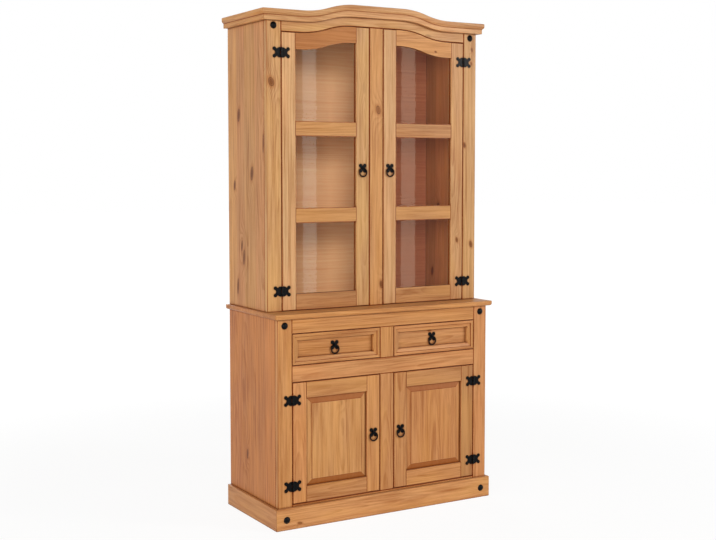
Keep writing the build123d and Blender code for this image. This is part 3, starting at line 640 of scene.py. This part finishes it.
# ---------------------------------------------------------------- small iron fittings
# Depth of the doors' faces, and the heights of each door's hinges, pull and catch
HUTCH_FACE, BASE_FACE = -0.11725, -0.19675
HUTCH_HINGES, HUTCH_PULL, HUTCH_CATCH = (0.869, 1.743), 1.3225, 1.242
BASE_HINGES, BASE_PULL, BASE_CATCH = (0.156, 0.475), 0.319, 0.4895
DOOR_THICKNESS = 0.0195
DOOR_PULL_X = 0.061
DRAWER_SETBACK, DRAWER_PULL = 0.020, 0.6645
# Leaves and plates: thickness, how far their lobes stand aside and up, and the pins in the lobes
HINGE_LINE = 0.4065
LEAF_THICKNESS, LEAF_LOBE, LEAF_LOBE_RISE = 0.0018, 0.0278, 0.0132
LEAF_PIN, LEAF_PIN_RISE = 0.0023, 0.0011
PLATE_THICKNESS, PLATE_LOBE, PLATE_LOBE_RISE = 0.002, 0.009, 0.0096
PLATE_PIN, PLATE_PIN_RISE = 0.0019, 0.0005
# Strike plates: their place from the middle, half sizes and rise, and their screws
STRIKE_X = 0.0395
STRIKE_HALF_WIDTH, STRIKE_HALF_HEIGHT, STRIKE_RISE = 0.0055, 0.016, 0.0003
STRIKE_SCREW, STRIKE_SCREW_RISE, STRIKE_SCREW_LIFT = 0.0022, 0.0001, 0.0115
# Heads: sides of the outline, the shares of its rings from foot to crown, and how deep the foot is sunk
HEAD_SIDES = 12
HEAD_RINGS = (1.0, 1.0, 0.87, 0.5)
SUNK = 0.0002


def head_form(half_width, half_height, rise, square, flat, facing):
    """Points, four-sided and three-sided faces of one head at the origin. The outline is a
    superellipse: round at square 2, a rounded rectangle above it. At the share s of the way out
    to the rim it stands rise * (1 - s ** flat) ** (1 / flat) high: a dome at flat 2, a plate with
    an eased rim above it. The rim's foot is sunk a little into what carries it."""
    count = HEAD_SIDES
    turn = np.arange(count) * (2.0 * math.pi / count)
    outline = np.stack([np.cos(turn), np.zeros(count), facing * np.sin(turn)], axis=1)
    outline = np.sign(outline) * np.abs(outline) ** (2.0 / square) * (half_width, 0.0, half_height)
    share = np.array(HEAD_RINGS)
    lift = rise * (1.0 - share ** flat) ** (1.0 / flat)
    lift[0] = -SUNK
    up = np.array([0.0, facing, 0.0])
    rings = share[:, None, None] * outline + lift[:, None, None] * up
    head = np.concatenate([rings.reshape(-1, 3), [rise * up, -SUNK * up]])

    here, beside = np.arange(count), (np.arange(count) + 1) % count
    steps = count * np.arange(len(share) - 1)[:, None]
    walls = np.stack([here + steps, here + steps + count, beside + steps + count, beside + steps], axis=-1)
    top, foot = np.full(count, len(head) - 2), np.full(count, len(head) - 1)
    last = count * (len(share) - 1)
    caps = np.concatenate([np.stack([here + last, top, beside + last], axis=1),
                           np.stack([beside, foot, here], axis=1)])
    return head, walls.reshape(-1, 4), caps


def raised_heads(name, body, places, half_width, half_height, rise, square=2.0, flat=2.0, facing=-1.0):
    """Pin heads or pressed plates that ride on a body: one head form, moved to each place. 'facing'
    is the side of the Y axis that they look to, -1 for the front and 1 for the back."""
    head, walls, caps = head_form(half_width, half_height, rise, square, flat, facing)
    points = np.asarray(places)[:, None, :] + head
    first = len(head) * np.arange(len(points))[:, None, None]
    faces = (walls + first).reshape(-1, 4).tolist() + (caps + first).reshape(-1, 3).tolist()

    mesh = bpy.data.meshes.new(name)
    mesh.from_pydata(points.reshape(-1, 3).tolist(), [], faces)
    mesh.shade_smooth()
    mesh.materials.append(IRON)
    piece = bpy.data.objects.new(name, mesh)
    scene.collection.objects.link(piece)
    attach(piece, body)


def lobes(x, y, heights, aside, rise):
    """The lobe middles of plates at x and at each height; 'aside' is one or both sides."""
    return [(x + step, y, height + lift) for height in heights for step in aside for lift in (-rise, rise)]


def leaf_pins(name, body, side, face, heights, reach):
    """Pins through the two outer lobes of each hinge leaf; 'reach' is from the hinge line."""
    places = lobes(side * HINGE_LINE, face - LEAF_THICKNESS, heights, (side * reach,), LEAF_LOBE_RISE)
    raised_heads(name, body, places, LEAF_PIN, LEAF_PIN, LEAF_PIN_RISE)


def plate_pins(body, x, face, height):
    """Low pins in the four lobes of a pull plate, under the sweep of its ring."""
    places = lobes(x, face - PLATE_THICKNESS, (height,), (-PLATE_LOBE, PLATE_LOBE), PLATE_LOBE_RISE)
    raised_heads(body + "_plate_pins", body, places, PLATE_PIN, PLATE_PIN, PLATE_PIN_RISE)


def strike_plate(body, x, back, height):
    """Pressed plate on the back of a door, where the magnetic catch holds it, and its two screws."""
    raised_heads(body + "_strike_plate", body, [(x, back, height)], STRIKE_HALF_WIDTH,
                 STRIKE_HALF_HEIGHT, STRIKE_RISE, square=5.0, flat=10.0, facing=1.0)
    screws = [(x, back + STRIKE_RISE, height + lift) for lift in (-STRIKE_SCREW_LIFT, STRIKE_SCREW_LIFT)]
    raised_heads(body + "_strike_screws", body, screws, STRIKE_SCREW, STRIKE_SCREW,
                 STRIKE_SCREW_RISE, flat=6.0, facing=1.0)


def fittings():
    """Pins and strike plates of both sides of the cabinet."""
    doors = (("base_door", BASE_FACE, BASE_HINGES, BASE_PULL, BASE_CATCH),
             ("hutch_door", HUTCH_FACE, HUTCH_HINGES, HUTCH_PULL, HUTCH_CATCH))
    for side, hand in ((-1.0, "left"), (1.0, "right")):
        for kind, face, hinges, pull, catch in doors:
            body = f"{kind}_{hand}"
            leaf_pins(body + "_leaf_pins", body, side, face, hinges, -LEAF_LOBE)
            leaf_pins(body + "_frame_leaf_pins", "cabinet", side, face, hinges, LEAF_LOBE)
            plate_pins(body, side * DOOR_PULL_X, face, pull)
            strike_plate(body, side * STRIKE_X, face + DOOR_THICKNESS, catch)
        plate_pins(f"drawer_{hand}", side * DRAWER_X, BASE_FACE + DRAWER_SETBACK, DRAWER_PULL)


fittings()


# ---------------------------------------------------------------- room, lamps and camera
SKY_BELOW, SKY_ABOVE = 0.28, 0.23
PALE_FLOOR = ((0.80, 0.80, 0.80, 1.0), (0.84, 0.84, 0.84, 1.0))
FLOOR_REACH = 30.0
# Around the cabinet: azimuth, elevation and distance of each lamp, its size, share and colour
WHITE = (1.0, 1.0, 1.0)
MIDDLE = (0.0, -0.1, 1.0)
LAMPS = {
    "key": (44, 15, 6.5, 1.2, 0.32, WHITE),
    "fill": (-52, 7, 6.0, 2.4, 0.30, (1.0, 0.94, 0.85)),
    "side": (-82, 6, 6.0, 2.4, 0.15, WHITE),
    "front": (-27, 11, 6.5, 2.4, 0.23, WHITE),
    "back": (168, 16, 6.5, 2.4, 0.16, WHITE),
}
# Tall strips that the panes mirror: where each shows on the glass, its width, share and colour
STRIPS = {
    "strip_left": (-0.286, 0.088, 0.029, (0.86, 1.0, 0.94)),
    "strip_right": (0.151, 0.096, 0.034, (1.0, 0.80, 0.60)),
}
STRIP_Y, STRIP_Z, STRIP_HEIGHT = -3.0, 1.35, 2.2
# Camera: its place, its tilt down and turn to the right in degrees, and its lens
EYE = (-2.38066, -4.00385, 1.32074)
TILT_DOWN, TURN_RIGHT = 3.854, 30.607
LENS, SENSOR, LENS_SHIFT = 59.582, 36.0, -0.03
# How far the eye stands to the left, and how far it and the strips stand from the panes, in whole mm
PANE_Y = -0.107
EYE_ASIDE = round(-EYE[0], 3)
EYE_TO_PANE = round(PANE_Y - EYE[1], 3)
STRIP_TO_PANE = round(PANE_Y - STRIP_Y, 3)


def seen_plainly(g):
    """1 for rays from the eye, from a mirror and through glass, 0 for other light."""
    paths = g.node("ShaderNodeLightPath", output=None)
    seen = paths["Is Camera Ray"].math("MAXIMUM", paths["Is Glossy Ray"])
    return seen.math("MAXIMUM", paths["Is Transmission Ray"])


def studio_world():
    """Soft light from all round, weaker from above, and a white background."""
    world = bpy.data.worlds.new("studio")
    world.use_nodes = True
    world.node_tree.nodes.clear()
    scene.world = world
    g = Graph(world.node_tree)
    parts = g.node("ShaderNodeSeparateXYZ",
                   values={0: g.node("ShaderNodeTexCoord", output="Generated")}, output=None)
    soft = g.level(parts["Z"], -0.1, 1.0, SKY_BELOW, SKY_ABOVE)
    strength = seen_plainly(g) * (1.0 - soft) + soft
    sky = g.node("ShaderNodeBackground", {}, {"Color": (1.0, 1.0, 1.0, 1.0), "Strength": strength})
    g.end("ShaderNodeOutputWorld", Surface=sky)


def floor_material():
    """Pale floor: shown nearly white with the cabinet's shadow, and plain pale to other light."""
    material, g = fresh_material("pale_floor")
    place = g.node("ShaderNodeTexCoord", output="Object")
    far = g.node("ShaderNodeVectorMath", {"operation": "LENGTH"}, {0: place}, output="Value")
    pale = g.mix(g.noise(place, 3.0), *PALE_FLOOR)
    matt = g.node("ShaderNodeBsdfDiffuse", {}, {"Color": pale})
    white = g.node("ShaderNodeEmission", {}, {"Strength": 1.06})
    shown = seen_plainly(g) * g.level(far, 1.2, 4.0, 0.85, 1.0)
    shader = g.node("ShaderNodeMixShader", {}, {0: shown, 1: matt, 2: white})
    g.end("ShaderNodeOutputMaterial", Surface=shader)
    return material


def floor():
    """A flat square of floor under the cabinet."""
    mesh = bpy.data.meshes.new("floor")
    corners = [(x * FLOOR_REACH, y * FLOOR_REACH, 0) for x, y in ((-1, -1), (1, -1), (1, 1), (-1, 1))]
    mesh.from_pydata(corners, [], [(0, 1, 2, 3)])
    piece = bpy.data.objects.new("floor", mesh)
    scene.collection.objects.link(piece)
    mesh.materials.append(floor_material())


def lamp(name, place, target, width, height, share, glow):
    """A soft rectangular lamp. 'share' is how bright it makes white paper that faces it at its
    target, and 'glow' is its colour."""
    light = bpy.data.lights.new(name, "AREA")
    light.shape = "RECTANGLE"
    light.size = width
    light.size_y = height
    away = Vector(place) - Vector(target)
    light.energy = share * math.pi ** 2 * away.length_squared
    light.color = glow
    holder = bpy.data.objects.new(name, light)
    holder.location = place
    holder.rotation_euler = away.to_track_quat("Z", "Y").to_euler()
    holder.visible_camera = False
    scene.collection.objects.link(holder)


def around(azimuth, elevation, distance):
    """A place round the cabinet's middle height; azimuth 0 is in front and 90 to the right."""
    turn, rise = math.radians(azimuth), math.radians(elevation)
    flat = distance * math.cos(rise)
    return (flat * math.sin(turn), -flat * math.cos(turn), MIDDLE[2] + distance * math.sin(rise))


def studio_lamps():
    """Lamps round the cabinet, then the strips. A line from the eye to a strip's place on the glass
    is mirrored there, and the strip stands where that line comes back to the strip's depth."""
    for name, (azimuth, elevation, distance, size, share, glow) in LAMPS.items():
        lamp(name, around(azimuth, elevation, distance), MIDDLE, size, size, share, glow)
    for name, (across, width, share, glow) in STRIPS.items():
        beside = across + (across + EYE_ASIDE) / EYE_TO_PANE * STRIP_TO_PANE
        lamp(name, (beside, STRIP_Y, STRIP_Z), (across, PANE_Y, STRIP_Z), width, STRIP_HEIGHT, share, glow)


def main_camera():
    """The camera, level with the pulls of the hutch doors and well to the left of the cabinet."""
    camera = bpy.data.cameras.new("camera")
    camera.lens = LENS
    camera.sensor_width = SENSOR
    camera.shift_y = LENS_SHIFT
    viewer = bpy.data.objects.new("camera", camera)
    viewer.location = EYE
    viewer.rotation_euler = (math.radians(90.0 - TILT_DOWN), 0.0, math.radians(-TURN_RIGHT))
    scene.collection.objects.link(viewer)
    scene.camera = viewer


studio_world()
floor()
studio_lamps()
main_camera()
scene.view_settings.view_transform = "Standard"
